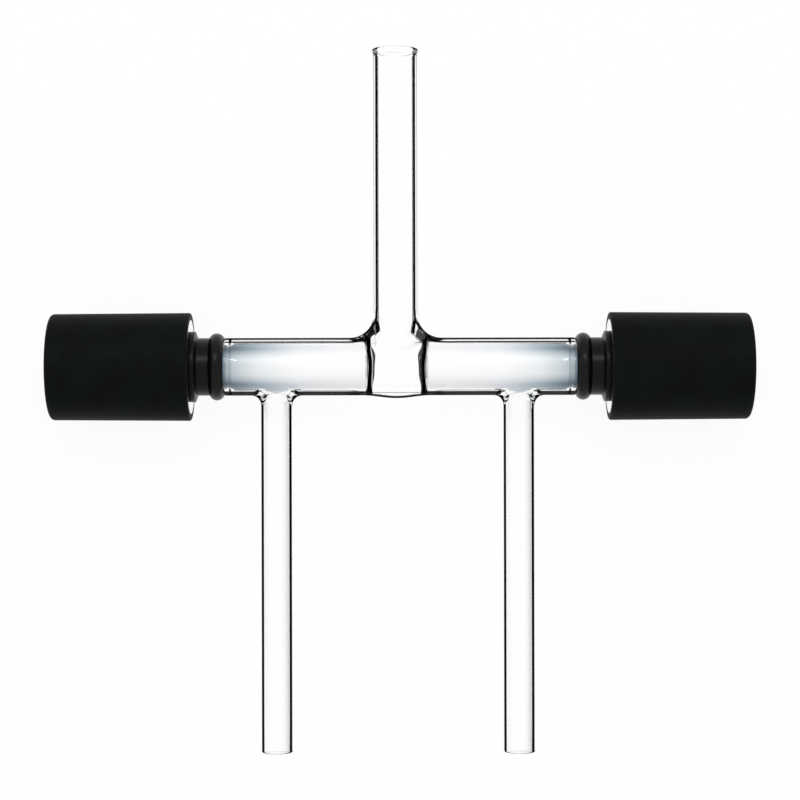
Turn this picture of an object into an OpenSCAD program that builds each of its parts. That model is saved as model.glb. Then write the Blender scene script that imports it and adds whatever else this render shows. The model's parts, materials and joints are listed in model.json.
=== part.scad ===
// Double vacuum stopcock: a horizontal glass barrel with a screw-down plug valve at each end,
// a wide stem tube up from the chamber between the two seats and an arm tube down from each valve.
// Working frame: X along the barrel, +Y towards the stem tube, +Z towards the front face.
// The finished part lies on its back: on both knobs and on the ends of the two arm tubes.

/* [Barrel] */
// Outer radius of the glass barrel
barrel_r = 8.35; // [8:0.05:9]
// Bore radius of the two valve chambers
chamber_r = 6.95; // [6.85:0.05:7.1]
// Precision bore radius where the plug's seals run
seal_bore_r = 6.45; // [6.45:0.01:6.5]
// Distance from the middle of the barrel to the start of the precision bore
seal_bore_start = 49.6; // [48:0.1:50]
// Distance from the middle of the barrel to its open end
barrel_end = 70.5; // [70:0.1:71]
// Sideways place of the chamber between the seats, which was fused slightly off the middle
centre_x = -0.95; // [-1.2:0.05:0]
// Outer radius of the swelling where the stem tube is fused on
swell_r = 9.18; // [8.9:0.02:9.3]
// Half of the swelling's length
swell_half = 8.4; // [7.5:0.1:9]

/* [Seats] */
// Distance from the chamber's middle to the plug side of each seat wall, on the axis
seat_x = 7.85; // [7.5:0.05:8.2]
// Thickness of the dished seat wall
seat_wall = 1.6; // [1.2:0.1:1.7]
// Spherical radius of the seat wall on the plug side
seat_dish_r = 26; // [20:0.5:30]
// Radius of the hole through the seat
seat_hole_r = 2.3; // [2:0.1:2.6]
// Inside radius of the chamber between the seats
middle_r = 7.7; // [7.2:0.1:7.7]

/* [Tubes] */
// Outer radius of the stem tube
stem_r = 6.3; // [6.1:0.05:6.5]
// Bore radius of the stem tube
stem_bore_r = 5.3; // [5.1:0.05:5.4]
// Height of the stem tube's rim above the barrel axis
stem_end = 92.1; // [80:0.1:110]
// Sideways place of the stem tube
stem_x = -1.25; // [-1.5:0.05:0]
// Radius of the rolled rim's section
rim_r = 0.7; // [0.6:0.05:0.8]
// Outer radius of the arm tubes
arm_r = 4.5; // [4.3:0.05:4.7]
// Bore radius of the arm tubes
arm_bore_r = 3.55; // [3.3:0.05:3.6]
// Length of the arm tubes below the barrel axis
arm_end = 111.8; // [100:0.1:120]
// Distance of the left arm tube from the middle
left_arm_x = 35.75; // [34:0.05:37]
// Distance of the right arm tube from the middle
right_arm_x = 34.5; // [34:0.05:37]
// Radius of the blend between the stem tube and the barrel
stem_blend_r = 7; // [5:0.1:7.5]
// Radius of the blend between each arm tube and the barrel
arm_blend_r = 2.9; // [2:0.1:4]

/* [Bushing] */
// Start of the grip groove, which is also the inner face of the rubber ring
groove_start = 50.9; // [50.5:0.1:51]
// End of the grip groove, where the glass end bead begins
groove_end = 66; // [65:0.1:66.5]
// Radius of the glass in the grip groove
groove_r = 7.5; // [7.4:0.05:7.6]
// Outer end of the rubber ring and start of the bushing's neck
neck_start = 55.2; // [55:0.05:55.5]
// Outer face of the collar, where the knob stops
collar_end = 60.5; // [60:0.1:61]
// Thickness of the collar
collar_t = 1.35; // [1.2:0.05:1.5]
// Outer radius of the collar
collar_r = 10.25; // [10.1:0.05:10.5]
// Outer radius of the screwed sleeve under the knob
sleeve_r = 9.8; // [9.6:0.05:9.8]
// Outer end of the bushing
bushing_end = 79; // [78:0.1:80]
// Thickness of the bushing's end wall, which guides the plug's shank
guide_t = 4; // [3:0.1:4.5]
// Gap between the two halves of the bushing
split_gap = 0.1; // [0.05:0.05:0.2]
// Outer radius of the rubber ring
ring_r = 9.75; // [9.5:0.05:9.9]
// Radius of the rubber ring's rounded crown
ring_crown_r = 2.3; // [2.2:0.05:2.5]

/* [Plug] */
// Radius of the plug where it runs in the precision bore
plug_r = 6.4; // [6.38:0.01:6.42]
// Outer end of the plug's wide part, which meets the bushing's end wall when fully open
plug_shoulder = 66.9; // [66.5:0.1:67]
// Radius of the plug's shank
shank_r = 5; // [4.8:0.05:5]
// Radius of the journal that carries the knob
journal_r = 3.4; // [3.2:0.05:3.5]
// Place of the inner O-ring
inner_seal_x = 53.5; // [53:0.1:54]
// Place of the outer O-ring
outer_seal_x = 58.5; // [58:0.1:59]
// Radius of the O-rings' section
seal_section_r = 1; // [0.9:0.05:1]

/* [Knob] */
// Radius of the knob at its inner face
knob_inner_r = 15.65; // [15.5:0.05:16]
// Radius of the knob at its outer end
knob_outer_r = 15.4; // [15.3:0.05:15.5]
// Inner face of the knob with the valve closed
knob_start = 60.6; // [60.6:0.1:61]
// Outer end of the knob with the valve closed
knob_end = 101.2; // [100:0.1:103]
// Radius of the knob's rounded outer edge
knob_edge_r = 1.3; // [1:0.1:1.5]
// Radius of the knob's threaded bore
knob_bore_r = 9.88; // [9.87:0.01:9.9]
// Thickness of the wall that turns on the plug's journal
hub_t = 4; // [3:0.1:4]
// Depth of the recess in the knob's outer end
recess_depth = 4; // [3.8:0.1:4.5]
// Radius of the recess in the knob's outer end
recess_r = 7.5; // [7:0.1:8]

/* [Hidden] */

// Small clearances: between pieces of one valve, and radially where one turns or slides in another
gap = 0.05;
turn_gap = 0.06;

// Length that a straight tube runs into the foot that carries it
foot_overlap = 0.25;

// Wall ends are melted round, so their radius is half the wall
arm_lip_r = (arm_r - arm_bore_r) / 2;

// Tilt at which the arm ends and the knobs touch the table together
rest_y = arm_end - arm_lip_r;
rest_z = arm_r - arm_lip_r;
rest_drop = knob_inner_r - arm_lip_r;
tilt = asin(rest_drop / norm([rest_y, rest_z])) - atan(rest_z / rest_y);

// Centre of the rolled rim's section, which stands just clear of the bore
rim_centre_r = stem_bore_r + gap + rim_r;

// Shift along Y that centres the part's outline over the origin
reach_up = (stem_end - rim_r) * cos(tilt) + rim_centre_r * sin(tilt) + rim_r;
reach_down = rest_y * cos(tilt) + rest_z * sin(tilt) + arm_lip_r;
centre_y = (reach_down - reach_up) / 2;

// Seat faces on the axis, counted outwards from the middle of the barrel, and their cone's depth
right_seat_z = seat_x + centre_x;
left_seat_z = seat_x - centre_x;
seat_cone = 0.6;

// Journal, washers and screw, counted outwards from the hub
hub_start = knob_end - recess_depth - hub_t;
hub_end = knob_end - recess_depth;
thrust_t = 0.5;
thrust_r = 6.2;
washer_t = 0.9;
washer_r = 6;
screw_r = 2;
screw_length = 14;
head_r = 3.7;
head_t = 2.2;
slot_w = 1;
slot_depth = 1.1;
screw_seat = hub_end + gap + washer_t + gap;
shank_end = hub_start - thrust_t - 2 * gap;

// Floor of the plug's seal grooves, and outside of the bushing's tongue under the rubber ring
seal_floor_r = plug_r - 2 * seal_section_r;
tongue_r = 8;

// ---- Placing ------------------------------------------------------------------------------

// Lays the working frame down as the part rests
module at_rest() {
    translate([0, centre_y, knob_inner_r]) rotate([tilt, 0, 0]) children();
}

// Draws a valve piece whose +Z runs outwards along the barrel, on the right or the left end
module on_right() {
    at_rest() rotate([0, 90, 0]) children();
}
module on_left() {
    at_rest() mirror([1, 0, 0]) rotate([0, 90, 0]) children();
}

// Cylinder along +Z from one height to another
module rod(r, from, to) {
    translate([0, 0, from]) cylinder(h = to - from, r = r, $fn = 96);
}

// Cylinder along +Z with a chamfer at its outer end
module chamfered_rod(r, from, to, chamfer) {
    rod(r, from, to - chamfer);
    translate([0, 0, to - chamfer]) cylinder(h = chamfer, r1 = r, r2 = r - chamfer, $fn = 96);
}

// ---- Glass --------------------------------------------------------------------------------

// Section of a valve end: groove for the bushing, end bead and rounded shoulders
module barrel_half_section() {
    shoulder_r = 0.5;
    bead_r = 0.6;
    square([barrel_r - shoulder_r, groove_start]);
    square([barrel_r, groove_start - shoulder_r]);
    translate([barrel_r - shoulder_r, groove_start - shoulder_r]) circle(r = shoulder_r, $fn = 48);
    square([groove_r, barrel_end]);
    translate([0, groove_end]) square([barrel_r - bead_r, barrel_end - groove_end]);
    translate([0, groove_end + bead_r]) square([barrel_r, barrel_end - groove_end - 2 * bead_r]);
    translate([barrel_r - bead_r, groove_end + bead_r]) circle(r = bead_r, $fn = 48);
    translate([barrel_r - bead_r, barrel_end - bead_r]) circle(r = bead_r, $fn = 48);
}

// Solid outside of the barrel, with the swelling round the chamber
module barrel_outside() {
    swell_arc_r = (pow(swell_half, 2) + pow(swell_r - barrel_r, 2)) / (2 * (swell_r - barrel_r));
    rotate([0, 90, 0]) {
        rotate_extrude($fn = 128) barrel_half_section();
        mirror([0, 0, 1]) rotate_extrude($fn = 128) barrel_half_section();
        translate([0, 0, centre_x]) rotate_extrude($fn = 128) intersection() {
            translate([swell_r - swell_arc_r, 0]) circle(r = swell_arc_r, $fn = 360);
            translate([0, -swell_half]) square([swell_r, 2 * swell_half]);
        }
    }
}

// Hollow of one valve: dished seat face, chamber, lead-in cone and precision bore
module valve_hollow(seat_z) {
    dish_depth = 3;
    cone_length = 0.8;
    rotate_extrude($fn = 96) {
        intersection() {
            translate([0, seat_z + seat_dish_r]) circle(r = seat_dish_r, $fn = 360);
            translate([0, seat_z - 1]) square([chamber_r, dish_depth + 1]);
        }
        polygon([
            [0, seat_z + dish_depth / 2], [chamber_r, seat_z + dish_depth / 2],
            [chamber_r, seal_bore_start - cone_length], [seal_bore_r, seal_bore_start],
            [seal_bore_r, barrel_end + 1], [0, barrel_end + 1]
        ]);
    }
}

// Hole through one seat wall, opened by a cone on the plug side
module seat_hole(seat_z) {
    rod(seat_hole_r, seat_z - 2 * seat_wall, seat_z + seat_cone);
    translate([0, 0, seat_z - seat_cone]) {
        cylinder(h = 2 * seat_cone, r1 = seat_hole_r, r2 = seat_hole_r + 2 * seat_cone, $fn = 96);
    }
}

// Chamber between the two dished seat walls
module middle_hollow() {
    translate([centre_x, 0, 0]) rotate([0, 90, 0]) rotate_extrude($fn = 96) difference() {
        translate([0, -seat_x]) square([middle_r, 2 * seat_x]);
        for (side = [-1, 1]) {
            translate([0, side * (seat_x + seat_dish_r)]) circle(r = seat_dish_r + seat_wall, $fn = 360);
        }
    }
}

// Foot of a tube, with the blend that a ball rolling round it would leave against the barrel.
// Its faces run a hair inside the tube and a little inside the barrel, and it ends level,
// where the straight tube begins.
module saddle_blend(tube_r, ball_r, turns, steps) {
    tube_sink = 0.02;
    barrel_sink = 0.06;
    centre_r = tube_r + ball_r;
    reach = barrel_r + ball_r;
    function ball_centre(a) = let (z = centre_r * sin(a))
        [centre_r * cos(a), sqrt(pow(reach, 2) - pow(z, 2)), z];
    function tube_side(a) = -[cos(a), 0, sin(a)];
    function barrel_side(a) = let (c = ball_centre(a)) -[0, c[1], c[2]] / reach;
    function blend_point(a, t) = let (
        whole = acos(tube_side(a) * barrel_side(a)),
        direction = (sin((1 - t) * whole) * tube_side(a) + sin(t * whole) * barrel_side(a)) / sin(whole)
    ) ball_centre(a) + (ball_r + tube_sink + t * (barrel_sink - tube_sink)) * direction;
    function top_point(a) = [(tube_r - tube_sink) * cos(a), reach, (tube_r - tube_sink) * sin(a)];
    blend_rings = [for (j = [0:steps]) for (i = [0:turns - 1]) blend_point(360 * i / turns, j / steps)];
    rings = concat([for (i = [0:turns - 1]) top_point(360 * i / turns)], blend_rings);
    foot = len(rings);
    last = foot - turns;
    sides = [for (j = [0:steps]) for (i = [0:turns - 1]) let (k = (i + 1) % turns)
        [j * turns + i, (j + 1) * turns + i, (j + 1) * turns + k, j * turns + k]];
    foot_fan = [for (i = [0:turns - 1]) [foot, last + (i + 1) % turns, last + i]];
    polyhedron(
        points = concat(rings, [[0, 0, 0]]),
        faces = concat(sides, foot_fan, [[for (i = [turns - 1:-1:0]) i]])
    );
}

// Stem tube with its rolled rim, from just inside its foot
module stem_outside() {
    rotate([-90, 0, 0]) {
        rod(stem_r, barrel_r + stem_blend_r - foot_overlap, stem_end - rim_r);
        translate([0, 0, stem_end - rim_r]) rotate_extrude($fn = 96) {
            translate([rim_centre_r, 0]) circle(r = rim_r, $fn = 48);
        }
    }
}

// Arm tube with its fire-polished end, from just inside its foot
module arm_outside() {
    rotate([90, 0, 0]) {
        rod(arm_r, barrel_r + arm_blend_r - foot_overlap, rest_y);
        translate([0, 0, rest_y]) rotate_extrude($fn = 96) {
            translate([arm_r - arm_lip_r, 0]) circle(r = arm_lip_r, $fn = 48);
        }
    }
}

// The whole glass body: barrel, seats and three tubes fused into one piece
module glass_body() {
    color("aliceblue", 0.4) at_rest() difference() {
        union() {
            barrel_outside();
            translate([stem_x, 0, 0]) stem_outside();
            translate([stem_x, 0, 0]) saddle_blend(stem_r, stem_blend_r, 48, 8);
            for (x = [-left_arm_x, right_arm_x]) translate([x, 0, 0]) {
                arm_outside();
                mirror([0, 1, 0]) saddle_blend(arm_r, arm_blend_r, 36, 5);
            }
        }
        middle_hollow();
        rotate([0, 90, 0]) {
            valve_hollow(right_seat_z);
            seat_hole(right_seat_z);
        }
        mirror([1, 0, 0]) rotate([0, 90, 0]) {
            valve_hollow(left_seat_z);
            seat_hole(left_seat_z);
        }
        translate([stem_x, 0, 0]) rotate([-90, 0, 0]) rod(stem_bore_r, 0, stem_end + 1);
        for (x = [-left_arm_x, right_arm_x]) {
            translate([x, 0, 0]) rotate([90, 0, 0]) rod(arm_bore_r, chamber_r / 2, arm_end + 1);
        }
    }
}

// ---- Valve pieces, each drawn with +Z outwards along the barrel ---------------------------

// Plug: coned nose, domed front, seal grooves, shank and journal, bored for the screw
module plug(seat_z) {
    front_gap = 0.35;
    nose_r = seat_hole_r - 1.5 * gap;
    nose_reach = 1.4;
    dome_depth = 3;
    groove_w = 2 * seal_section_r + 0.4;
    hole_depth = screw_length + 1;
    difference() {
        union() {
            rotate_extrude($fn = 96) intersection() {
                translate([0, seat_z + seat_dish_r]) circle(r = seat_dish_r - front_gap, $fn = 360);
                translate([0, seat_z]) square([plug_r, dome_depth]);
            }
            rod(plug_r, seat_z + dome_depth / 2, plug_shoulder);
            translate([0, 0, seat_z - seat_cone]) {
                cylinder(h = 2 * seat_cone, r1 = nose_r, r2 = nose_r + 2 * seat_cone, $fn = 96);
            }
            translate([0, 0, seat_z - nose_reach]) {
                cylinder(h = nose_reach - seat_cone, r1 = nose_r - 0.5, r2 = nose_r, $fn = 96);
            }
            rod(shank_r, seat_z + dome_depth, shank_end);
            chamfered_rod(journal_r, plug_shoulder, hub_end, 0.3);
        }
        for (z = [inner_seal_x, outer_seal_x]) {
            translate([0, 0, z]) rotate_extrude($fn = 96) {
                translate([seal_floor_r, -groove_w / 2]) square([plug_r, groove_w]);
            }
        }
        rod(screw_r + gap, hub_end - hole_depth, hub_end + 1);
    }
}

// O-ring that seals the plug in the precision bore
module oring(z) {
    translate([0, 0, z]) rotate_extrude($fn = 96) {
        translate([seal_floor_r + gap / 2 + seal_section_r, 0]) circle(r = seal_section_r, $fn = 48);
    }
}

// Section of the split bushing: tongue under the ring, neck, collar, sleeve and guiding end wall
module bushing_section() {
    collar_start = collar_end - collar_t;
    collar_slope = 0.65;
    edge = 0.15;
    sleeve_edge = 0.9;
    pocket_r = barrel_r + gap;
    grip_r = groove_r + gap;
    room_r = plug_r + 0.6;
    polygon([
        [grip_r, groove_start + gap], [tongue_r, groove_start + gap],
        [tongue_r, neck_start], [barrel_r, neck_start],
        [barrel_r, collar_start - collar_slope], [collar_r - edge, collar_start],
        [collar_r, collar_start + edge], [collar_r, collar_end - edge],
        [collar_r - edge, collar_end], [sleeve_r, collar_end],
        [sleeve_r, bushing_end - sleeve_edge], [sleeve_r - sleeve_edge, bushing_end],
        [shank_r + turn_gap, bushing_end], [shank_r + turn_gap, bushing_end - guide_t],
        [room_r, bushing_end - guide_t], [room_r, barrel_end + gap],
        [pocket_r, barrel_end + gap], [pocket_r, groove_end - gap],
        [grip_r, groove_end - gap]
    ]);
}

// One half of the bushing: side -1 is the front half and side 1 the back half
module bushing_half(side) {
    block = 2 * bushing_end;
    intersection() {
        rotate_extrude($fn = 96) bushing_section();
        translate([side * (block + split_gap) / 2, 0, bushing_end]) cube(block, center = true);
    }
}

// Rubber ring with a rounded crown that holds the two halves in the groove
module bushing_ring() {
    ring_start = groove_start + gap;
    ring_end = neck_start - gap;
    rotate_extrude($fn = 96) intersection() {
        translate([ring_r - ring_crown_r, (ring_start + ring_end) / 2]) circle(r = ring_crown_r, $fn = 96);
        translate([tongue_r + gap, ring_start]) square([ring_crown_r, ring_end - ring_start]);
    }
}

// Section of the knob: drafted side, rounded outer edge, bore, hub wall and recess
module knob_section() {
    face_edge = 0.3;
    mouth_edge = 0.3;
    arc_steps = 10;
    rim = [for (i = [0:arc_steps]) let (a = 90 * i / arc_steps)
        [knob_outer_r - knob_edge_r * (1 - cos(a)), knob_end - knob_edge_r * (1 - sin(a))]];
    polygon(concat(
        [[knob_bore_r + mouth_edge, knob_start], [knob_inner_r - face_edge, knob_start]],
        [[knob_inner_r, knob_start + face_edge]],
        rim,
        [[recess_r + mouth_edge, knob_end], [recess_r, knob_end - mouth_edge], [recess_r, hub_end]],
        [[journal_r + turn_gap, hub_end], [journal_r + turn_gap, hub_start], [knob_bore_r, hub_start]],
        [[knob_bore_r, knob_start + mouth_edge]]
    ));
}

// Knob that screws along the bushing's sleeve and carries the plug with it
module knob() {
    rotate_extrude($fn = 128) knob_section();
}

// Flat ring along +Z
module washer(hole_r, outer_r, from, to) {
    difference() {
        rod(outer_r, from, to);
        rod(hole_r, from - 1, to + 1);
    }
}

// Washer between the plug's shank and the knob's hub
module thrust_washer() {
    washer(journal_r + turn_gap, thrust_r, shank_end + gap, hub_start - gap);
}

// Washer under the screw's head, which keeps the knob on the journal
module screw_washer() {
    washer(screw_r + gap, washer_r, hub_end + gap, screw_seat - gap);
}

// Slotted pan-head screw that holds the washer to the plug
module retaining_screw() {
    difference() {
        union() {
            rod(screw_r, screw_seat - screw_length, screw_seat);
            chamfered_rod(head_r, screw_seat, screw_seat + head_t, 0.5);
        }
        translate([-head_r - 1, -slot_w / 2, screw_seat + head_t - slot_depth]) {
            cube([2 * head_r + 2, slot_w, slot_depth + 1]);
        }
    }
}

// ---- Nodes --------------------------------------------------------------------------------

module left_plug() { color("white") on_left() plug(left_seat_z); }
module right_plug() { color("white") on_right() plug(right_seat_z); }
module left_inner_oring() { color("dimgray") on_left() oring(inner_seal_x); }
module right_inner_oring() { color("dimgray") on_right() oring(inner_seal_x); }
module left_outer_oring() { color("dimgray") on_left() oring(outer_seal_x); }
module right_outer_oring() { color("dimgray") on_right() oring(outer_seal_x); }
module left_bushing_front() { color("#202024") on_left() bushing_half(-1); }
module right_bushing_front() { color("#202024") on_right() bushing_half(-1); }
module left_bushing_back() { color("#202024") on_left() bushing_half(1); }
module right_bushing_back() { color("#202024") on_right() bushing_half(1); }
module left_bushing_ring() { color("#1a1a1a") on_left() bushing_ring(); }
module right_bushing_ring() { color("#1a1a1a") on_right() bushing_ring(); }
module left_knob() { color("#161818") on_left() knob(); }
module right_knob() { color("#161818") on_right() knob(); }
module left_thrust_washer() { color("whitesmoke") on_left() thrust_washer(); }
module right_thrust_washer() { color("whitesmoke") on_right() thrust_washer(); }
module left_screw_washer() { color("silver") on_left() screw_washer(); }
module right_screw_washer() { color("silver") on_right() screw_washer(); }
module left_retaining_screw() { color("silver") on_left() retaining_screw(); }
module right_retaining_screw() { color("silver") on_right() retaining_screw(); }

glass_body();
left_plug();
left_inner_oring();
left_outer_oring();
left_bushing_front();
left_bushing_back();
left_bushing_ring();
left_knob();
left_thrust_washer();
left_screw_washer();
left_retaining_screw();
right_plug();
right_inner_oring();
right_outer_oring();
right_bushing_front();
right_bushing_back();
right_bushing_ring();
right_knob();
right_thrust_washer();
right_screw_washer();
right_retaining_screw();
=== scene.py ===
import json
import math

import bmesh
import bpy
import numpy as np
from mathutils import Matrix, Vector


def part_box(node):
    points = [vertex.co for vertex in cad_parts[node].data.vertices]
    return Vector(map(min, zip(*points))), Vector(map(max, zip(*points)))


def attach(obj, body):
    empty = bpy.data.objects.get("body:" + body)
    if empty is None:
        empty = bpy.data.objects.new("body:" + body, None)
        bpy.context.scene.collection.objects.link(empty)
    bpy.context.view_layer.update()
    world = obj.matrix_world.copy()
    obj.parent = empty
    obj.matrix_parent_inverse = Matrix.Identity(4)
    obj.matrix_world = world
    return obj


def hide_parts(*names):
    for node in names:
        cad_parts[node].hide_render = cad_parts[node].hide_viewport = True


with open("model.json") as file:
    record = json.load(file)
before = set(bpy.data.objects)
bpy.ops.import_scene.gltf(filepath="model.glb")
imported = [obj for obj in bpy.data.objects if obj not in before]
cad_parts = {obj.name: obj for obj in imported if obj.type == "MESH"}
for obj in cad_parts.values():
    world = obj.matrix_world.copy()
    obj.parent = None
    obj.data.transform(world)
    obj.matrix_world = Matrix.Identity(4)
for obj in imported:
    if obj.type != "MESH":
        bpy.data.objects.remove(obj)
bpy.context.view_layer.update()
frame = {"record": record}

# ---- Glass body -----------------------------------------------------------------------------
# Borosilicate tubing, lampworked into one piece: a barrel with two dished seats inside, a stem
# tube and two arm tubes. The feet of the tubes were drawn out in the flame, so the wall flares
# inside and outside there. It is clear and fire polished, and only the seats' lips are ground.

MM = 0.001

# It is drawn in millimetres on the barrel's axis, +X to the right knob and +Y up the stem tube,
# and then laid down. The axis is that of the knobs, and it leans as the arm tubes do.
knob_low, knob_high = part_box("left_knob")
barrel_axis = (knob_low + knob_high) / 2
arm_mount = next(m for m in frame["record"]["mounts"] if m["name"] == "left_arm_end")
lean = math.atan2(-arm_mount["axis"][2], -arm_mount["axis"][1])
laid_down = (Matrix.Translation((0, barrel_axis.y, barrel_axis.z))
             @ Matrix.Rotation(lean, 4, "X") @ Matrix.Scale(MM, 4))

barrel_r, chamber_r, seal_bore_r, groove_r = 8.35, 6.95, 6.45, 7.5
seal_bore_start, groove_start, groove_end, barrel_end = 49.6, 50.9, 66.0, 70.5
wall_middle, wall_middle_at_end = 8.0, 7.1      # between the inside and outside radii of the wall
barrel_steps = 144                              # round it
middle_x, middle_r = -0.95, 7.7                 # the chamber between the two seats
swell, swell_half = 0.83, 10.0                  # how far the wall bulges round it, and how far along
seat_off, seat_wall, seat_hole_r = 7.85, 0.6, 2.3
lip_height, blown_r = 1.2, 7.75                 # of the seat's ground lip, and of the chamber beside it
dish_r, dish_rim_r, dish_back_rim_r = 22.0, 3.75, 2.9
dish_centre = seat_off - lip_height + dish_r

# A patch is half the length of the stretch of the barrel's wall that a tube's foot is drawn out of,
# and off_middle is how far the bore lies off the middle of its tube.
stem = dict(
    x=-1.25, up=1, outer_r=6.3, bore_r=5.3, end=92.1, off_middle=0.0, chamber_r=middle_r,
    outer_flare=7.0, inner_flare=3.8, outer_patch=15.0, inner_patch=5.5,
    steps_along=40, steps_round=58)
left_arm = dict(
    x=-35.75, up=-1, outer_r=4.5, bore_r=3.55, end=111.8, off_middle=-0.1, chamber_r=chamber_r,
    outer_flare=2.9, inner_flare=2.0, outer_patch=9.0, inner_patch=7.0,
    steps_along=24, steps_round=40)
right_arm = dict(left_arm, x=34.5)


def arc(x, r, radius, start, end, steps):
    """Points of an arc in the lengthways section, between two angles in degrees."""
    turns = np.radians(np.linspace(start, end, steps + 1))
    return [(x + radius * math.cos(turn), r + radius * math.sin(turn)) for turn in turns]


def smooth_step(x, low, high):
    """0 up to low, 1 from high on, and a smooth rise between."""
    share = np.clip((x - low) / (high - low), 0, 1)
    return share * share * (3 - 2 * share)


def mirrored(points):
    return [(-x, r) for x, r in reversed(points)]


def stations(tube, patch, r):
    """Even points along the wall where a tube's foot is worked out of it."""
    low, high = tube["x"] - patch, tube["x"] + patch
    return [(x, r) for x in np.linspace(low, high, tube["steps_along"] + 1)]


def outside_of_end():
    """Right end outside: shoulder, grip groove and end bead."""
    shoulder_r, floor_r, bead_r, floor_in = 0.5, 0.25, 0.6, 5.0
    return (
        arc(groove_start - shoulder_r, barrel_r - shoulder_r, shoulder_r, 90, 0, 6)
        + arc(groove_start + floor_r, groove_r + floor_r, floor_r, 180, 270, 3)
        + [(groove_start + floor_in, groove_r), (groove_end - floor_in, groove_r)]
        + arc(groove_end - floor_r, groove_r + floor_r, floor_r, -90, 0, 3)
        + arc(groove_end + bead_r, barrel_r - bead_r, bead_r, 180, 90, 6)
        + arc(barrel_end - bead_r, barrel_r - bead_r, bead_r, 90, 0, 6))


def corner_in_dish(dish_x, reach, height):
    """Where the centre of a round corner in a dish lies, and the angle at which the two arcs meet."""
    corner_x = dish_x - math.sqrt(reach ** 2 - height ** 2)
    return corner_x, 180 - math.degrees(math.asin(height / reach))


def inside_of_end(seat, tube_stations):
    """Right half inside, inwards: precision bore, chamber and both faces of the seat's wall."""
    mouth_r, step_length, softened, soft_height = 0.4, 0.8, 0.5, 0.03
    bore_middle, chamber_high, chamber_low, blown_from = 62, 46, 24, 20     # stations on even stretches
    step_end = seal_bore_start - step_length
    points = arc(barrel_end - mouth_r, seal_bore_r + mouth_r, mouth_r, 0, -90, 4)
    points += [(bore_middle, seal_bore_r), (seal_bore_start + softened, seal_bore_r)]
    points += [(seal_bore_start, seal_bore_r + soft_height), (step_end, chamber_r - soft_height)]
    points += [(step_end - softened, chamber_r), (chamber_high, chamber_r)]
    points += tube_stations[::-1]
    points += [(chamber_low, chamber_r), (blown_from, chamber_r)]

    # The chamber blown out towards the seat, its round corner, the dish, and the lip round the hole
    corner_r, blown_length = 0.7, 7.5
    blown_x, dish_x = seat + blown_length, seat - lip_height + dish_r
    corner_x, meet = corner_in_dish(dish_x, dish_r - corner_r, blown_r - corner_r)
    for share in np.linspace(0, 1, 11)[:-1]:
        rise = (blown_r - chamber_r) * smooth_step(share, 0, 1)
        points.append((blown_x + share * (corner_x - blown_x), chamber_r + rise))
    rim_angle = 180 - math.degrees(math.asin(dish_rim_r / dish_r))
    points += arc(corner_x, blown_r - corner_r, corner_r, 90, meet, 8)
    points += arc(dish_x, 0, dish_r, meet, rim_angle, 9)[1:]
    points += [(seat - 0.3, 3.4), (seat + 0.1, 3.25), (seat + 0.16, 3.1), (seat + 0.1, 2.98)]
    points += [(seat - 0.45, seat_hole_r + 0.1), (seat - 0.7, seat_hole_r)]

    # The hole's back edge, the dish's back, and the middle chamber's round corner
    edge_r, edge_rise, corner_r = 0.2, 0.1, 0.6
    edge_x = seat - lip_height - seat_wall + edge_rise + edge_r
    corner_x, meet = corner_in_dish(dish_x, dish_r + seat_wall + corner_r, middle_r - corner_r)
    rim_angle = 180 - math.degrees(math.asin(dish_back_rim_r / dish_r))
    points += arc(edge_x, seat_hole_r + edge_r, edge_r, 270, 180, 4)
    points += arc(dish_x, 0, dish_r + seat_wall, rim_angle, meet, 9)[:-1]
    points += arc(corner_x, middle_r - corner_r, corner_r, meet - 180, 90, 8)
    return points


def barrel_section():
    """Closed lengthways section of the barrel's wall, outside to the right and inside back. Single
    stations between the patches keep its faces short."""
    outside = mirrored(outside_of_end()) + [(-47.5, barrel_r)]
    outside += stations(left_arm, left_arm["outer_patch"], barrel_r)
    outside += [(-23, barrel_r), (-19.5, barrel_r)]
    outside += stations(stem, stem["outer_patch"], barrel_r)
    outside += [(17.5, barrel_r), (21.5, barrel_r)]
    outside += stations(right_arm, right_arm["outer_patch"], barrel_r)
    outside += [(47, barrel_r)] + outside_of_end()
    right = stations(right_arm, right_arm["inner_patch"], chamber_r)
    right = inside_of_end(seat_off + middle_x, right)
    middle = stations(stem, stem["inner_patch"], middle_r)[::-1]
    left = stations(dict(left_arm, x=-left_arm["x"]), left_arm["inner_patch"], chamber_r)
    left = mirrored(inside_of_end(seat_off - middle_x, left))
    return outside + right + middle + left


def move_vertices(piece, where):
    """Moves all vertices in edit mode: where takes their places as an array and gives new ones."""
    mesh = bmesh.from_edit_mesh(piece.data)
    for v, place in zip(mesh.verts, where(np.array([v.co for v in mesh.verts]))):
        v.co = place
    bmesh.update_edit_mesh(piece.data)


section = barrel_section()
bpy.ops.object.select_all(action="DESELECT")
bpy.ops.mesh.primitive_circle_add(vertices=len(section), fill_type="NOTHING")
glass = bpy.context.object
glass.name = glass.data.name = "fused_glass"
bpy.ops.object.mode_set(mode="EDIT")
move_vertices(glass, lambda places: [(x, r, 0) for x, r in section])
bpy.ops.mesh.select_all(action="SELECT")
bpy.ops.mesh.spin(steps=barrel_steps, angle=math.tau, center=(0, 0, 0), axis=(1, 0, 0))
bpy.ops.mesh.select_all(action="SELECT")
bpy.ops.mesh.remove_doubles(threshold=1e-4)

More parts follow.
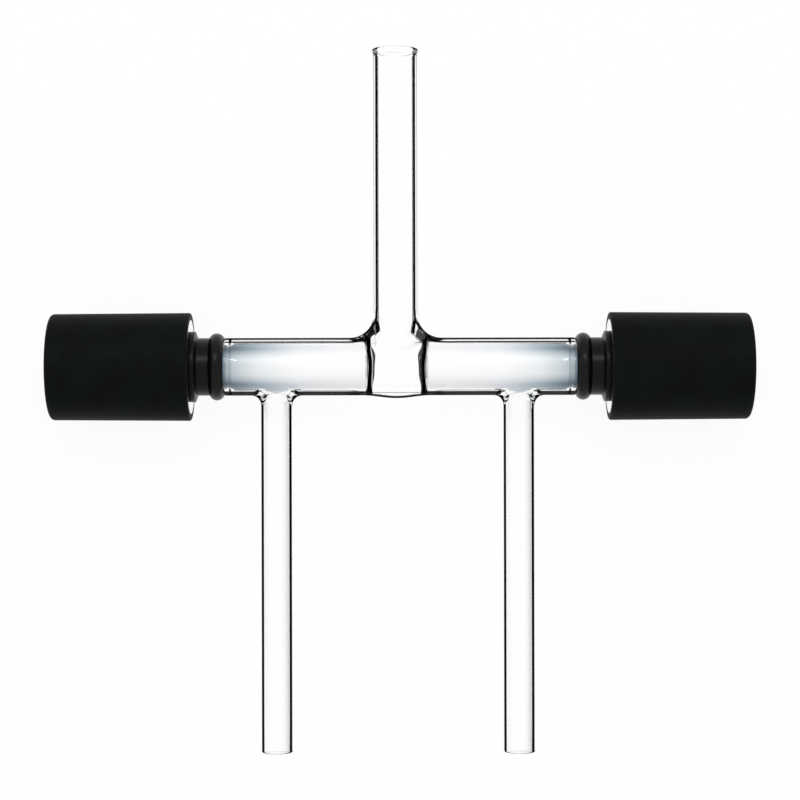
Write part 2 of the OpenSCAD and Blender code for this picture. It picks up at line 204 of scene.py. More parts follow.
# The six walls, and the stretches of them that have a finish of their own
OUTSIDE, BORE, STEM_OUTSIDE, STEM_BORE, ARM_OUTSIDE, ARM_BORE = range(6)
(MIDDLE, BORE_LEFT, BORE_RIGHT, SEAT_LEFT, SEAT_RIGHT, SEAT_BACK_LEFT, SEAT_BACK_RIGHT, GROUND,
 FOOT, FOOT_TOP, FOOT_BORE_LEFT, FOOT_BORE_RIGHT, RIM_SIDE, RIM_TOP, ARM_FOOT, ARM_FOOT_BORE,
 CLEAR) = range(6, 23)

mesh = bmesh.from_edit_mesh(glass.data)
mesh.verts.layers.int.new("spoke")
mesh.verts.layers.int.new("drawn")
for face in mesh.faces:
    at = face.calc_center_median()
    between = wall_middle if abs(at.x) < groove_start - 1 else wall_middle_at_end
    face.material_index = BORE if math.hypot(at.y, at.z) < between else OUTSIDE
bmesh.update_edit_mesh(glass.data)


# A flare is the shape that a ball leaves as it rolls round a tube's foot and touches both the tube
# and the barrel. It is given by the radii of the tube, the barrel and the ball. A place on it has a
# roll, the angle round the tube, and a share, from 0 at the tube to 1 at the barrel.

def flare_of(tube, inside):
    """The three radii of a tube's flare, inside or outside."""
    if inside:
        return tube["bore_r"], tube["chamber_r"], tube["inner_flare"]
    return tube["outer_r"], barrel_r, tube["outer_flare"]


def ball_centre(tube_r, base_r, ball_r, roll):
    """Centre of the ball, measured from the tube's middle on the barrel's axis."""
    across = (tube_r + ball_r) * np.sin(roll)
    up = np.sqrt((base_r + ball_r) ** 2 - across ** 2)
    return np.stack([(tube_r + ball_r) * np.cos(roll), up, across], -1)


def touching(base_r, ball_r, centre, roll):
    """Directions from the ball's centre to the tube and to the barrel, and the angle between."""
    to_tube = -np.stack([np.cos(roll), np.zeros_like(roll), np.sin(roll)], -1)
    to_barrel = -centre * [0, 1, 1] / (base_r + ball_r)
    return to_tube, to_barrel, np.arccos(np.sum(to_tube * to_barrel, -1))


def flare_point(tube_r, base_r, ball_r, roll, share):
    """Place on the flare with this roll and share."""
    centre = ball_centre(tube_r, base_r, ball_r, roll)
    to_tube, to_barrel, angle = touching(base_r, ball_r, centre, roll)
    way = np.sin((1 - share) * angle)[:, None] * to_tube + np.sin(share * angle)[:, None] * to_barrel
    return centre + ball_r * way / np.sin(angle)[:, None]


def flare_height(tube_r, base_r, ball_r, x, turn):
    """Radius of the flared wall at a place on the barrel, and the flare's roll and share there."""
    rolls = np.linspace(-np.pi, np.pi, 1441)    # every quarter of a degree
    centres = ball_centre(tube_r, base_r, ball_r, rolls)
    low, high = np.full_like(x, base_r), np.full_like(x, base_r + ball_r)
    for _ in range(40):
        r = (low + high) / 2
        points = np.stack([x, r * np.cos(turn), r * np.sin(turn)], -1)
        away = np.linalg.norm(points[:, None] - centres[None], axis=-1)
        beyond = away.min(1) > ball_r
        low, high = np.where(beyond, r, low), np.where(beyond, high, r)
    roll = rolls[away.argmin(1)]
    centre = ball_centre(tube_r, base_r, ball_r, roll)
    to_tube, to_barrel, angle = touching(base_r, ball_r, centre, roll)
    from_tube = np.arccos(np.clip(np.sum(to_tube * (points - centre), -1) / ball_r, -1, 1))
    return r, roll, from_tube / angle


def under_flare(tube_r, base_r, ball_r, x, turn):
    """True where the flare covers the barrel's own wall."""
    across = np.sqrt(np.clip(1 - (x / (tube_r + ball_r)) ** 2, 0, 1))
    edge = np.arcsin((tube_r + ball_r) * across / (base_r + ball_r))
    return (np.abs(x) < tube_r + ball_r) & (np.abs(turn) < edge)


def meeting_line(tube_r, base_r, ball_r, x, turn):
    """Nearest place of the line where the flare leaves the barrel's wall, and how far off it is."""
    rolls = np.linspace(-np.pi, np.pi, 2881)    # every eighth of a degree
    line_x = (tube_r + ball_r) * np.cos(rolls)
    line_turn = np.arcsin((tube_r + ball_r) * np.sin(rolls) / (base_r + ball_r))
    away = np.hypot(x[:, None] - line_x, base_r * (turn[:, None] - line_turn))
    nearest = away.argmin(1)
    return rolls[nearest], line_x[nearest], line_turn[nearest], away.min(1)


def swelling(x, turn):
    """How far the barrel bulges round the middle chamber, which the stem's foot leaves alone."""
    foot_edge, foot_clear = np.radians(62), np.radians(100)
    along = np.clip(np.abs(x - middle_x) / swell_half, 0, 1)
    return swell * (1 + np.cos(np.pi * along)) / 2 * smooth_step(np.abs(turn), foot_edge, foot_clear)


def blown(places):
    """The wall swollen outside, and the middle chamber's corners risen into the stem's flare."""
    x, y, z = places.T
    turn, r, side, off = np.arctan2(z, y), np.hypot(y, z), np.sign(x - middle_x), np.abs(x - middle_x)
    flare, back_r = flare_of(stem, True), dish_r + seat_wall
    in_wall = dish_centre - np.sqrt(back_r ** 2 - np.minimum(r, wall_middle) ** 2) + 0.2
    risen_from, risen_r, slid_r, tallest_r = chamber_r - 0.9, middle_r - 0.3, middle_r - 0.6, 12
    chamber = (r < wall_middle) & (r > risen_from) & (off < in_wall)
    new_x, new_r = x.copy(), np.where(r > wall_middle, r + swelling(x, turn), r)
    # A corner that rises also slides along the dish, which changes where it is under the flare
    for _ in range(3):
        raised = np.flatnonzero(chamber & under_flare(*flare, new_x - stem["x"], turn))
        height = flare_height(*flare, new_x[raised] - stem["x"], turn[raised])[0]
        share = smooth_step(r[raised], risen_from, risen_r)
        new_r[raised] = r[raised] * (1 + share * (height / middle_r - 1))
        dish_there = np.sqrt(back_r ** 2 - np.minimum(new_r, tallest_r) ** 2)
        slid = np.sqrt(back_r ** 2 - r ** 2) - dish_there
        slid = slid * (1 - smooth_step(r, slid_r, middle_r))
        new_x = np.where(chamber, x + side * slid, x)

    # The flame drew the edges of the seats apart towards the stem, and a little at the bottom
    leant_up, leant_down, lip_r, leant_r = 0.75, 0.35, 3.2, 6.5
    fades_from, fades_to, back_gap, dish_gap = 9, 15, 2.0, 1.2
    height = new_r * np.cos(turn)
    leant = leant_up * smooth_step(height, 0, leant_r) + leant_down * smooth_step(-height, 0, leant_r)
    leant = leant * smooth_step(r, lip_r, leant_r) * (1 - smooth_step(off, fades_from, fades_to))
    leant = leant * smooth_step(off, in_wall - back_gap, in_wall - dish_gap)
    new_x = np.where(r < wall_middle, new_x + side * leant, new_x)
    return np.stack([new_x, new_r * np.cos(turn), new_r * np.sin(turn)], -1)


move_vertices(glass, blown)


def rolled_rim(inside):
    """Radius and height of the stem's rim, rolled outwards in the flame."""
    rim_r, neck_r, opened, bore_r, end = 0.7, 1.0, 0.03, stem["bore_r"], stem["end"]
    rim_x, rim_y = bore_r + opened + rim_r, end - rim_r
    if inside:
        return [(bore_r, end - 2), (bore_r + 0.02, end - 1.2)] + arc(rim_x, rim_y, rim_r, 180, 90, 8)
    neck_x = stem["outer_r"] + neck_r
    neck_y = rim_y - math.sqrt((rim_r + neck_r) ** 2 - (neck_x - rim_x) ** 2)
    meet = math.degrees(math.atan2(rim_y - neck_y, rim_x - neck_x))
    return arc(neck_x, neck_y, neck_r, 180, meet, 5) + arc(rim_x, rim_y, rim_r, meet - 180, 90, 14)[1:]


def polished_end(tube, inside):
    """Radius and height of an arm's end, cut square and rounded in the flame."""
    lip_r = (tube["outer_r"] - tube["bore_r"]) / 2
    return arc(tube["bore_r"] + lip_r, tube["end"] - lip_r, lip_r, 180 if inside else 0, 90, 7)


def up_the_tube(tube, inside):
    """Radius and height along a tube's wall, from the top of its foot to the top of its lip."""
    shares_of_height = (0.01, 0.06, 0.3, 0.6, 0.9)
    tube_r, base_r, ball_r = flare_of(tube, inside)
    lip = rolled_rim(inside) if tube is stem else polished_end(tube, inside)
    low, high = base_r + ball_r, lip[0][1]
    return [(tube_r, low + (high - low) * share) for share in shares_of_height] + lip


def rings_of(tube, inside, x, turn):
    """Rings that carry the wall from the edge of its patch through the flare and up the tube."""
    flare_steps, offset_height, hardly_any = 18, 8, 1e-6
    tube_r, base_r, ball_r = flare = flare_of(tube, inside)
    spokes = np.linspace(0, math.tau, len(x), endpoint=False)
    spokes = np.where(spokes > np.pi, spokes - math.tau, spokes)

    # A point of the edge crosses the barrel's wall to the flare, if that doesn't cover it, and then
    # rises along the flare to its own spoke at the top
    covered = under_flare(*flare, x, turn)
    _, own_roll, own_share = flare_height(*flare, x, turn)
    line_roll, line_x, line_turn, flat = meeting_line(*flare, x, turn)
    flat, curved = np.where(covered, hardly_any, flat), 1.5 * ball_r    # lengths of the two ways
    start_roll, start_share = np.where(covered, own_roll, line_roll), np.where(covered, own_share, 1)
    start_roll = start_roll - math.tau * np.round((start_roll - spokes) / math.tau)
    rings = []
    for step in range(1, flare_steps + 1):
        gone = (flat + curved) * step / flare_steps
        crossed = np.clip(gone / flat, 0, 1)
        along, around = x + crossed * (line_x - x), turn + crossed * (line_turn - turn)
        barrel_turn = around if tube["up"] > 0 else np.pi - around
        r = base_r + (0 if inside else swelling(along + tube["x"], barrel_turn))
        on_barrel = np.stack([along, r * np.cos(around), r * np.sin(around)], -1)
        risen = np.clip((gone - flat) / curved, 0, 1)
        roll = start_roll + risen * (spokes - start_roll)
        on_flare = flare_point(*flare, roll, start_share * (1 - risen))
        rings.append(np.where((gone > flat)[:, None], on_flare, on_barrel))

    for r, height in up_the_tube(tube, inside):
        inwards = np.clip((tube["outer_r"] - r) / (tube["outer_r"] - tube["bore_r"]), 0, 1)
        off = tube["off_middle"] * inwards * min(1, (height - base_r - ball_r) / offset_height)
        up = np.full_like(spokes, height)
        rings.append(np.stack([off + r * np.cos(spokes), up, r * np.sin(spokes)], -1))
    return [ring * [1, tube["up"], 1] + [tube["x"], 0, 0] for ring in rings]


def draw_out(tube, inside, wall):
    """Opens a patch of the barrel's wall and draws its edge out, ring by ring, into the tube."""
    patch, barrel_wall = (tube["inner_patch"], BORE) if inside else (tube["outer_patch"], OUTSIDE)
    half_turn = math.pi * tube["steps_round"] / barrel_steps
    patch_height = 11                           # open ends of tubes drawn out before lie beyond it

    def in_patch(place):
        return (place.x - tube["x"]) / patch, math.atan2(place.z, place.y * tube["up"]) / half_turn

    bpy.ops.mesh.select_all(action="DESELECT")
    bpy.ops.mesh.select_mode(type="FACE")
    mesh = bmesh.from_edit_mesh(glass.data)
    for face in mesh.faces:
        along, around = in_patch(face.calc_center_median())
        face.select_set(face.material_index == barrel_wall and max(abs(along), abs(around)) < 1)
    bmesh.update_edit_mesh(glass.data)
    bpy.ops.mesh.delete(type="FACE")

    # The patch's edge, numbered round the tube
    bpy.ops.mesh.select_mode(type="EDGE")
    mesh = bmesh.from_edit_mesh(glass.data)
    rim = []
    for v in mesh.verts:
        if v.is_boundary and abs(v.co.y) < patch_height:
            along, around = in_patch(v.co)
            rim.append((round(math.atan2(around, along), 6) % round(math.tau, 6), v))
    rim = [v for corner, v in sorted(rim, key=lambda item: item[0])]
    spoke = mesh.verts.layers.int["spoke"]
    for i, v in enumerate(rim):
        v[spoke] = i
        for edge in v.link_edges:
            if edge.is_boundary:
                edge.select_set(True)
    bmesh.update_edit_mesh(glass.data)

    x = np.array([v.co.x - tube["x"] for v in rim])
    turn = np.array([math.atan2(v.co.z, v.co.y * tube["up"]) for v in rim])
    for ring in rings_of(tube, inside, x, turn):
        bpy.ops.mesh.extrude_region_move()
        mesh = bmesh.from_edit_mesh(glass.data)
        spoke, drawn = mesh.verts.layers.int["spoke"], mesh.verts.layers.int["drawn"]
        for v in mesh.verts:
            if v.select:
                v.co = ring[v[spoke]]
                v[drawn] = wall
        bmesh.update_edit_mesh(glass.data)
    mesh = bmesh.from_edit_mesh(glass.data)
    drawn = mesh.verts.layers.int["drawn"]
    for face in mesh.faces:
        if any(v[drawn] == wall for v in face.verts):
            face.material_index = wall
    bmesh.update_edit_mesh(glass.data)


for tube, outside, bore in ((stem, STEM_OUTSIDE, STEM_BORE),
                            (left_arm, ARM_OUTSIDE, ARM_BORE),
                            (right_arm, ARM_OUTSIDE, ARM_BORE)):
    draw_out(tube, False, outside)
    draw_out(tube, True, bore)
bpy.ops.mesh.select_all(action="SELECT")
bpy.ops.mesh.remove_doubles(threshold=1e-3)
bpy.ops.mesh.normals_make_consistent(inside=False)

# Where the stretches end: along the barrel, in radius from its axis, and in height up the tubes. The
# slopes are the least that the wall's normal has along the barrel there.
middle_end, seat_end, seat_slope = seat_off - 1, seat_off + 0.7, 0.1
lip_start, lip_end, lip_outer_r = seat_off - lip_height, seat_off + 0.3, 3.6
bore_shaded_from, step_from, step_to, step_slope = 26, 45, seal_bore_start + 0.5, 0.05
foot_low, foot_middle, foot_top = barrel_r + 0.9, 11.5, barrel_r + stem["outer_flare"]
foot_bore_top, rim_low, rim_side = foot_top - 1.5, stem["end"] - 2.2, 0.74
arm_foot_low, arm_foot_top = barrel_r + 0.15, barrel_r + left_arm["outer_flare"]
arm_foot_bore_top = chamber_r + left_arm["inner_flare"] + 1


def region_of(face):
    """The wall or stretch of it that a face gets its finish from."""
    wall, at, normal = face.material_index, face.calc_center_median(), face.normal
    off, r = at.x - middle_x, math.hypot(at.y, at.z)
    on_right = off >= 0
    if lip_start < abs(off) < lip_end and r < lip_outer_r:
        return GROUND
    if wall == BORE and abs(off) < seat_end and abs(normal.x) > seat_slope:
        to_plug, to_middle = (SEAT_LEFT, SEAT_RIGHT), (SEAT_BACK_LEFT, SEAT_BACK_RIGHT)
        return (to_plug if off * normal.x > 0 else to_middle)[on_right]
    if wall == BORE and abs(at.x) > bore_shaded_from:
        step = abs(normal.x) > step_slope and step_from < abs(at.x) < step_to
        return CLEAR if step else (BORE_LEFT, BORE_RIGHT)[on_right]
    if wall == OUTSIDE or wall == STEM_OUTSIDE and r < foot_low:
        return MIDDLE if abs(off) < middle_end else OUTSIDE
    if wall == STEM_OUTSIDE and at.y < foot_top:
        return FOOT_TOP if at.y > foot_middle else FOOT
    if wall == STEM_BORE and at.y < foot_bore_top:
        return (FOOT_BORE_LEFT, FOOT_BORE_RIGHT)[on_right]
    # The stem's rim gets painted shade on its front half, black at its sides and grey on top, and stays
    # clear behind and underneath.
    if wall in (STEM_OUTSIDE, STEM_BORE) and at.y > rim_low:
        if at.z < 0 or normal.y < 0:
            return CLEAR
        across = at.x - stem["x"]
        return RIM_SIDE if abs(across) / math.hypot(across, at.z) > rim_side else RIM_TOP
    if wall == ARM_OUTSIDE and at.y > -arm_foot_top:
        return ARM_FOOT if r > arm_foot_low else OUTSIDE
    if wall == ARM_BORE and at.y > -arm_foot_bore_top:
        return ARM_FOOT_BORE
    return wall


mesh = bmesh.from_edit_mesh(glass.data)
for face in mesh.faces:
    face.material_index = region_of(face)
bmesh.update_edit_mesh(glass.data)
bpy.ops.object.mode_set(mode="OBJECT")
glass.data.transform(laid_down)
bpy.ops.object.shade_smooth_by_angle(angle=math.radians(40))


def linear(code):
    """Linear colour of an sRGB hex value."""
    parts = [int(code[i:i + 2], 16) / 255 for i in (1, 3, 5)]
    return [c / 12.92 if c <= 0.04045 else ((c + 0.055) / 1.055) ** 2.4 for c in parts] + [1]


def add_node(material, kind, inputs=None, stops=(), **settings):
    """Adds a node with its settings and a ramp's stops, each a place and an sRGB hex colour. Its
    inputs, by name or number, are filled with values or linked, to a node by its first output."""
    tree = material.node_tree
    node = tree.nodes.new("ShaderNode" + kind)
    for name, value in settings.items():
        setattr(node, name, value)
    for name, value in (inputs or {}).items():
        if isinstance(value, bpy.types.Node):
            value = value.outputs[0]
        if isinstance(value, bpy.types.NodeSocket):
            tree.links.new(value, node.inputs[name])
        else:
            node.inputs[name].default_value = value
    if stops:
        elements = node.color_ramp.elements
        elements.remove(elements[-1])
        for i, (place, code) in enumerate(stops):
            element = elements.new(place) if i else elements[0]
            element.position = place
            element.color = linear(code)
    return node


def new_material(name):
    material = bpy.data.materials.new(name)
    material.use_nodes = True
    material.node_tree.nodes.clear()
    return material


def seen_square_on(material, facing, axis):
    """How edge-on a wall would be with its tube seen square on, so that its lines keep their width."""
    least_sine = 0.2                            # of the angle between the view and the tube
    direction = add_node(material, "CombineXYZ", dict(zip("XYZ", axis)))
    aside = add_node(material, "LayerWeight", {"Blend": 0.5, "Normal": direction}).outputs["Facing"]
    rest = add_node(material, "Math", {0: 2.0, 1: aside}, operation="SUBTRACT")
    sine = add_node(material, "Math", {0: aside, 1: rest}, operation="MULTIPLY")
    sine = add_node(material, "Math", {0: sine}, operation="SQRT")
    sine = add_node(material, "Math", {0: sine, 1: least_sine}, operation="MAXIMUM")
    cosine = add_node(material, "Math", {0: 1.0, 1: facing}, operation="SUBTRACT")
    cosine = add_node(material, "Math", {0: cosine, 1: sine}, operation="DIVIDE")
    return add_node(material, "Math", {0: 1.0, 1: cosine}, operation="SUBTRACT", use_clamp=True)


WHITE, BLACK = "#FFFFFF", "#000000"
GLASS_IOR = 1.474


# Clear borosilicate 3.3, fire polished. Glass tubing has dark outlines where its wall is seen nearly
# edge-on and bends dark surroundings into view. The studio is white all round, so a ramp paints that
# shade into what the wall refracts there: its stops run from 0, seen face-on, to 1, seen edge-on,
# square to the axis tube where that is given. One side of a stretch may have a ramp of its own, with
# more painted shade. What the wall mirrors would be dark too, so it keeps only a share, which darkens
# it further: outer_mirror in air, inner_mirror inside the glass.
def borosilicate(name, stops, inner_mirror=1.0, outer_mirror=0.05, dark_from=0.0, tube=None,
                 side=None, side_stops=()):
    dark_length = 0.06
    material = new_material("borosilicate_" + name)
    facing = add_node(material, "LayerWeight", {"Blend": 0.5}).outputs["Facing"]
    edge_on = seen_square_on(material, facing, tube) if tube else facing
    colour = add_node(material, "ValToRGB", {"Fac": edge_on}, stops)
    if side:
        of, axis, start, end = side
        source = add_node(material, "TexCoord").outputs[of]
        measure = add_node(material, "SeparateXYZ", {"Vector": source}).outputs[axis]
        share = add_node(material, "MapRange", {"Value": measure, "From Min": start, "From Max": end})
        side_colour = add_node(material, "ValToRGB", {"Fac": edge_on}, side_stops)
        colour = add_node(material, "MixRGB", {"Fac": share, "Color1": colour, "Color2": side_colour})
    inner = add_node(material, "MapRange", {
        "Value": facing, "From Min": dark_from, "From Max": dark_from + dark_length,
        "To Min": 1.0, "To Max": inner_mirror})
    inside = add_node(material, "NewGeometry").outputs["Backfacing"]
    kept = add_node(material, "MapRange", {"Value": inside, "To Min": outer_mirror, "To Max": inner})
    fresnel = add_node(material, "Fresnel", {"IOR": GLASS_IOR})
    mirror_share = add_node(material, "Math", {0: fresnel, 1: kept}, operation="MULTIPLY")
    bent = add_node(material, "BsdfRefraction", {"Color": colour, "Roughness": 0.0, "IOR": GLASS_IOR})
    mirror = add_node(material, "BsdfGlossy", {"Color": linear(WHITE), "Roughness": 0.0})
    wall = add_node(material, "MixShader", {0: mirror_share, 1: bent, 2: mirror})
    # Lamplight goes straight through, to the floor below and the plugs inside
    rays = add_node(material, "LightPath").outputs
    straight = add_node(material, "Math", {
        0: rays["Is Shadow Ray"], 1: rays["Is Diffuse Ray"]}, operation="MAXIMUM")
    clear = add_node(material, "BsdfTransparent")
    surface = add_node(material, "MixShader", {0: straight, 1: wall, 2: clear})
    add_node(material, "OutputMaterial", {"Surface": surface})
    return material


def darkened(start, full, code=BLACK):
    """Ramp stops of painted shade that sets in over a stretch and stays dark to the wall's edge."""
    return [(0, WHITE), (start, WHITE), (full, code)]


def banded(start, full, fading, clear):
    """Ramp stops of painted shade: a black line inside a wall's edge."""
    return [(0, WHITE), (start, WHITE), (full, BLACK), (fading, BLACK), (clear, WHITE)]


# A side is told by the wall's normal or its place along an axis, from where that side's ramp sets in
# to where it is the only one. The side ramps are painted shade: a darker underside, where the light
# falls from above, darker lines on one side of the arms, and a cool grey at the chamber's ends, which
# the bushings shade.
lengthwise, upward = (1, 0, 0), laid_down.to_3x3().col[1].normalized()
shaded_underside = ("Normal", "Y", -0.55, -0.65)
right_side, left_side = ("Normal", "X", -0.1, 0.1), ("Normal", "X", 0.1, -0.1)
left_end, right_end = ("Object", "X", -27.6 * MM, -46 * MM), ("Object", "X", 27.6 * MM, 46 * MM)
bore_end_shade = darkened(0.45, 0.56, "#93A5AE") + [(0.66, "#5A6E78"), (0.78, "#20282C")]
finishes = {
    OUTSIDE: borosilicate(
        "barrel", banded(0.44, 0.455, 0.52, 0.54) + [(0.60, WHITE), (0.66, "#303030")],
        tube=lengthwise, side=shaded_underside, side_stops=darkened(0.45, 0.5, "#303030")),
    MIDDLE: borosilicate(
        "middle", darkened(0.58, 0.66, "#404040"),
        tube=lengthwise, side=shaded_underside, side_stops=darkened(0.60, 0.65, "#202020")),
    BORE: borosilicate("chamber", darkened(0.72, 0.78), outer_mirror=0.03, tube=lengthwise),
    BORE_LEFT: borosilicate(
        "bore_left", darkened(0.72, 0.78), outer_mirror=0.03,
        tube=lengthwise, side=left_end, side_stops=bore_end_shade),
    BORE_RIGHT: borosilicate(
        "bore_right", darkened(0.72, 0.78), outer_mirror=0.03,
        tube=lengthwise, side=right_end, side_stops=bore_end_shade),
    # The seats' dark bands and the ground lips' flat dark grey are painted shade, lighter and bluer on
    # the right, where the seats also keep more of what they mirror inside.
    SEAT_LEFT: borosilicate(
        "seat", darkened(0.85, 0.92, "#101010"), inner_mirror=0.012, dark_from=0.3),
    SEAT_RIGHT: borosilicate(
        "seat_right", darkened(0.85, 0.92, "#323A3C"), inner_mirror=0.2, dark_from=0.3),
    SEAT_BACK_LEFT: borosilicate(
        "seat_back", darkened(0.66, 0.7, "#101010"), inner_mirror=0.012, dark_from=0.2),
    SEAT_BACK_RIGHT: borosilicate(
        "seat_back_right", darkened(0.3, 0.45, "#323A3C"), inner_mirror=0.06, dark_from=0.2),
    GROUND: borosilicate("ground", [(0, "#2C2C2C")], inner_mirror=0.03),
    STEM_OUTSIDE: borosilicate(
        "stem", banded(0.42, 0.435, 0.59, 0.62) + [(0.79, WHITE), (0.85, "#707070")], tube=upward),
    STEM_BORE: borosilicate("stem_bore", darkened(0.58, 0.64), outer_mirror=0.02, tube=upward),
    FOOT: borosilicate("foot", darkened(0.42, 0.5, "#101010"), inner_mirror=0.4),
    FOOT_TOP: borosilicate("foot_top", banded(0.42, 0.46, 0.61, 0.66), inner_mirror=0.5),
    # The left foot's bore keeps little of what it mirrors inside, painted shade; the right one keeps
    # most.
    FOOT_BORE_LEFT: borosilicate("foot_bore", darkened(0.55, 0.65), inner_mirror=0.15),
    FOOT_BORE_RIGHT: borosilicate("foot_bore_right", darkened(0.55, 0.65), inner_mirror=0.9),
    RIM_SIDE: borosilicate(
        "rim_side", darkened(0.3, 0.45, "#101010"), inner_mirror=0.3, outer_mirror=0.1),
    RIM_TOP: borosilicate(
        "rim_top", darkened(0.72, 0.82, "#909090"), inner_mirror=0.8, outer_mirror=0.1),
    ARM_OUTSIDE: borosilicate(
        "arm", darkened(0.44, 0.48),
        tube=upward, side=right_side, side_stops=banded(0.36, 0.4, 0.68, 0.72)),
    ARM_BORE: borosilicate(
        "arm_bore", [(0, WHITE)], outer_mirror=0.02,
        tube=upward, side=left_side, side_stops=darkened(0.1, 0.7, "#D0D0D0") + [(0.9, "#505050")]),
    ARM_FOOT: borosilicate("arm_foot", darkened(0.66, 0.72)),
    ARM_FOOT_BORE: borosilicate("arm_foot_bore", darkened(0.6, 0.7)),
    CLEAR: borosilicate("clear", [(0, WHITE)])}
for region in sorted(finishes):
    glass.data.materials.append(finishes[region])
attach(glass, "valve_body")
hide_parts("glass_body")


# ---- PTFE plugs -----------------------------------------------------------------------------
# Turned PTFE, white and waxy, with a cone that seats on the glass and grooves for two O-rings. The
# shank behind them goes through the bushing to the knob.

def turned_ptfe():
    """White at the nose, with painted shade: light reaches the O-ring end only through the chamber, so a
    cool grey is painted there, deepest on its rounded sides, and two faint grey rings at the seals."""
    shade_end, seals_from, seals_to = 52 * MM, 48 * MM, 53 * MM
    lathe_lines = 0.6 * MM                      # coarser than real ones, which would not show
    material = new_material("turned_ptfe")
    place = add_node(material, "TexCoord").outputs["Object"]
    off = add_node(material, "SeparateXYZ", {"Vector": place}).outputs["X"]
    off = add_node(material, "Math", {0: off}, operation="ABSOLUTE")
    along = add_node(material, "MapRange", {"Value": off, "From Max": shade_end})
    facing = add_node(material, "LayerWeight", {"Blend": 0.5}).outputs["Facing"]
    rounded = add_node(material, "MapRange", {"Value": facing, "From Min": 0.06, "From Max": 0.38})
    # Painted shade along the plug, as it faces the view and as it is seen edge-on
    front = add_node(material, "ValToRGB", {"Fac": along}, [
        (0.3, "#F4F4F4"), (0.56, "#F3F4F4"), (0.67, "#ECEDEE"), (0.77, "#E2E6E8"),
        (0.84, "#D2D8DA"), (0.92, "#BAC5CB"), (0.97, "#9CA8AE")])
    sides = add_node(material, "ValToRGB", {"Fac": along}, [
        (0.3, "#EAEAEC"), (0.56, "#DCDFE4"), (0.67, "#C2CCD4"), (0.77, "#9DADB8"),
        (0.84, "#7C909D"), (0.92, "#506676"), (0.97, "#2E424F")])
    white = add_node(material, "MixRGB", {"Fac": rounded, "Color1": front, "Color2": sides})
    at_seals = add_node(material, "MapRange", {
        "Value": off, "From Min": seals_from, "From Max": seals_to})
    # Painted shade: two faint grey rings at the seals
    rings = add_node(material, "ValToRGB", {"Fac": at_seals}, [
        (0.1, WHITE), (0.18, "#D0D8E0"), (0.26, WHITE), (0.4, WHITE), (0.48, "#B8CBDA"),
        (0.62, "#A8BED0"), (0.7, WHITE)])
    colour = add_node(material, "MixRGB", {
        "Fac": 1.0, "Color1": white, "Color2": rings}, blend_type="MULTIPLY")
    lathe = add_node(material, "TexWave", {
        "Vector": place, "Scale": 1 / lathe_lines, "Distortion": 0.4, "Detail": 1.0},
        bands_direction="X")
    bump = add_node(material, "Bump", {
        "Height": lathe.outputs["Fac"], "Strength": 0.15, "Distance": 0.02 * MM})
    shader = add_node(material, "BsdfPrincipled", {
        "Base Color": colour, "Roughness": 0.38, "IOR": 1.35, "Normal": bump})
    add_node(material, "OutputMaterial", {"Surface": shader})
    return material


def dress(material, *names):
    """Gives the left and right CAD nodes of these names their material."""
    for name in names:
        for side in ("left_", "right_"):
            piece = bpy.data.objects[side + name]
            piece.data.materials.clear()
            piece.data.materials.append(material)


dress(turned_ptfe(), "plug")


# ---- Seals and washers ----------------------------------------------------------------------
# Moulded fluoroelastomer O-rings in the plug's grooves, matt and nearly black, and brown
# filled-PTFE thrust washers on which the knob turns against the plug's shoulder.

def moulded(name, code, roughness, grain, gloss=0.12):
    """Rubber or plastic, a little uneven in colour, with the mould's grain, given in millimetres."""
    material = new_material(name)
    place = add_node(material, "TexCoord").outputs["Object"]
    noise = add_node(material, "TexNoise", {
        "Vector": place, "Scale": 1 / (grain * MM), "Detail": 3.0, "Roughness": 0.6}).outputs["Fac"]
    tone = add_node(material, "MapRange", {"Value": noise, "From Min": 0.3, "From Max": 0.7})
    dark = [c * 0.8 for c in linear(code)[:3]] + [1]
    colour = add_node(material, "MixRGB", {"Fac": tone, "Color1": dark, "Color2": linear(code)})
    bump = add_node(material, "Bump", {"Height": noise, "Strength": 0.2, "Distance": 0.03 * MM})
    shader = add_node(material, "BsdfPrincipled", {
        "Base Color": colour, "Roughness": roughness, "Specular IOR Level": gloss, "Normal": bump})
    add_node(material, "OutputMaterial", {"Surface": shader})
    return material


seal_rubber = moulded("moulded_fluoroelastomer", "#1A1614", roughness=0.5, grain=0.15)
dress(seal_rubber, "inner_oring", "outer_oring")
filled_ptfe = moulded("filled_ptfe", "#6E5A44", roughness=0.45, grain=0.1)
dress(filled_ptfe, "thrust_washer")


# ---- Bushings and their rings ---------------------------------------------------------------
# Two moulded halves of black acetal that close round the glass and carry the thread for the knob,
# and the black nitrile ring that holds their fingers in the glass's groove. Both gleam a little.

black_acetal = moulded("moulded_black_acetal", "#08080C", roughness=0.3, grain=0.2, gloss=0.14)
dress(black_acetal, "bushing_front", "bushing_back")
ring_rubber = moulded("moulded_nitrile_rubber", "#080908", roughness=0.26, grain=0.12, gloss=0.16)
dress(ring_rubber, "bushing_ring")


# ---- Knobs ----------------------------------------------------------------------------------
# Black glass-filled plastic, moulded with a fine satin texture and turned by hand. The hub inside
# runs along the bushing, and the retaining screw holds it to the plug's shank.

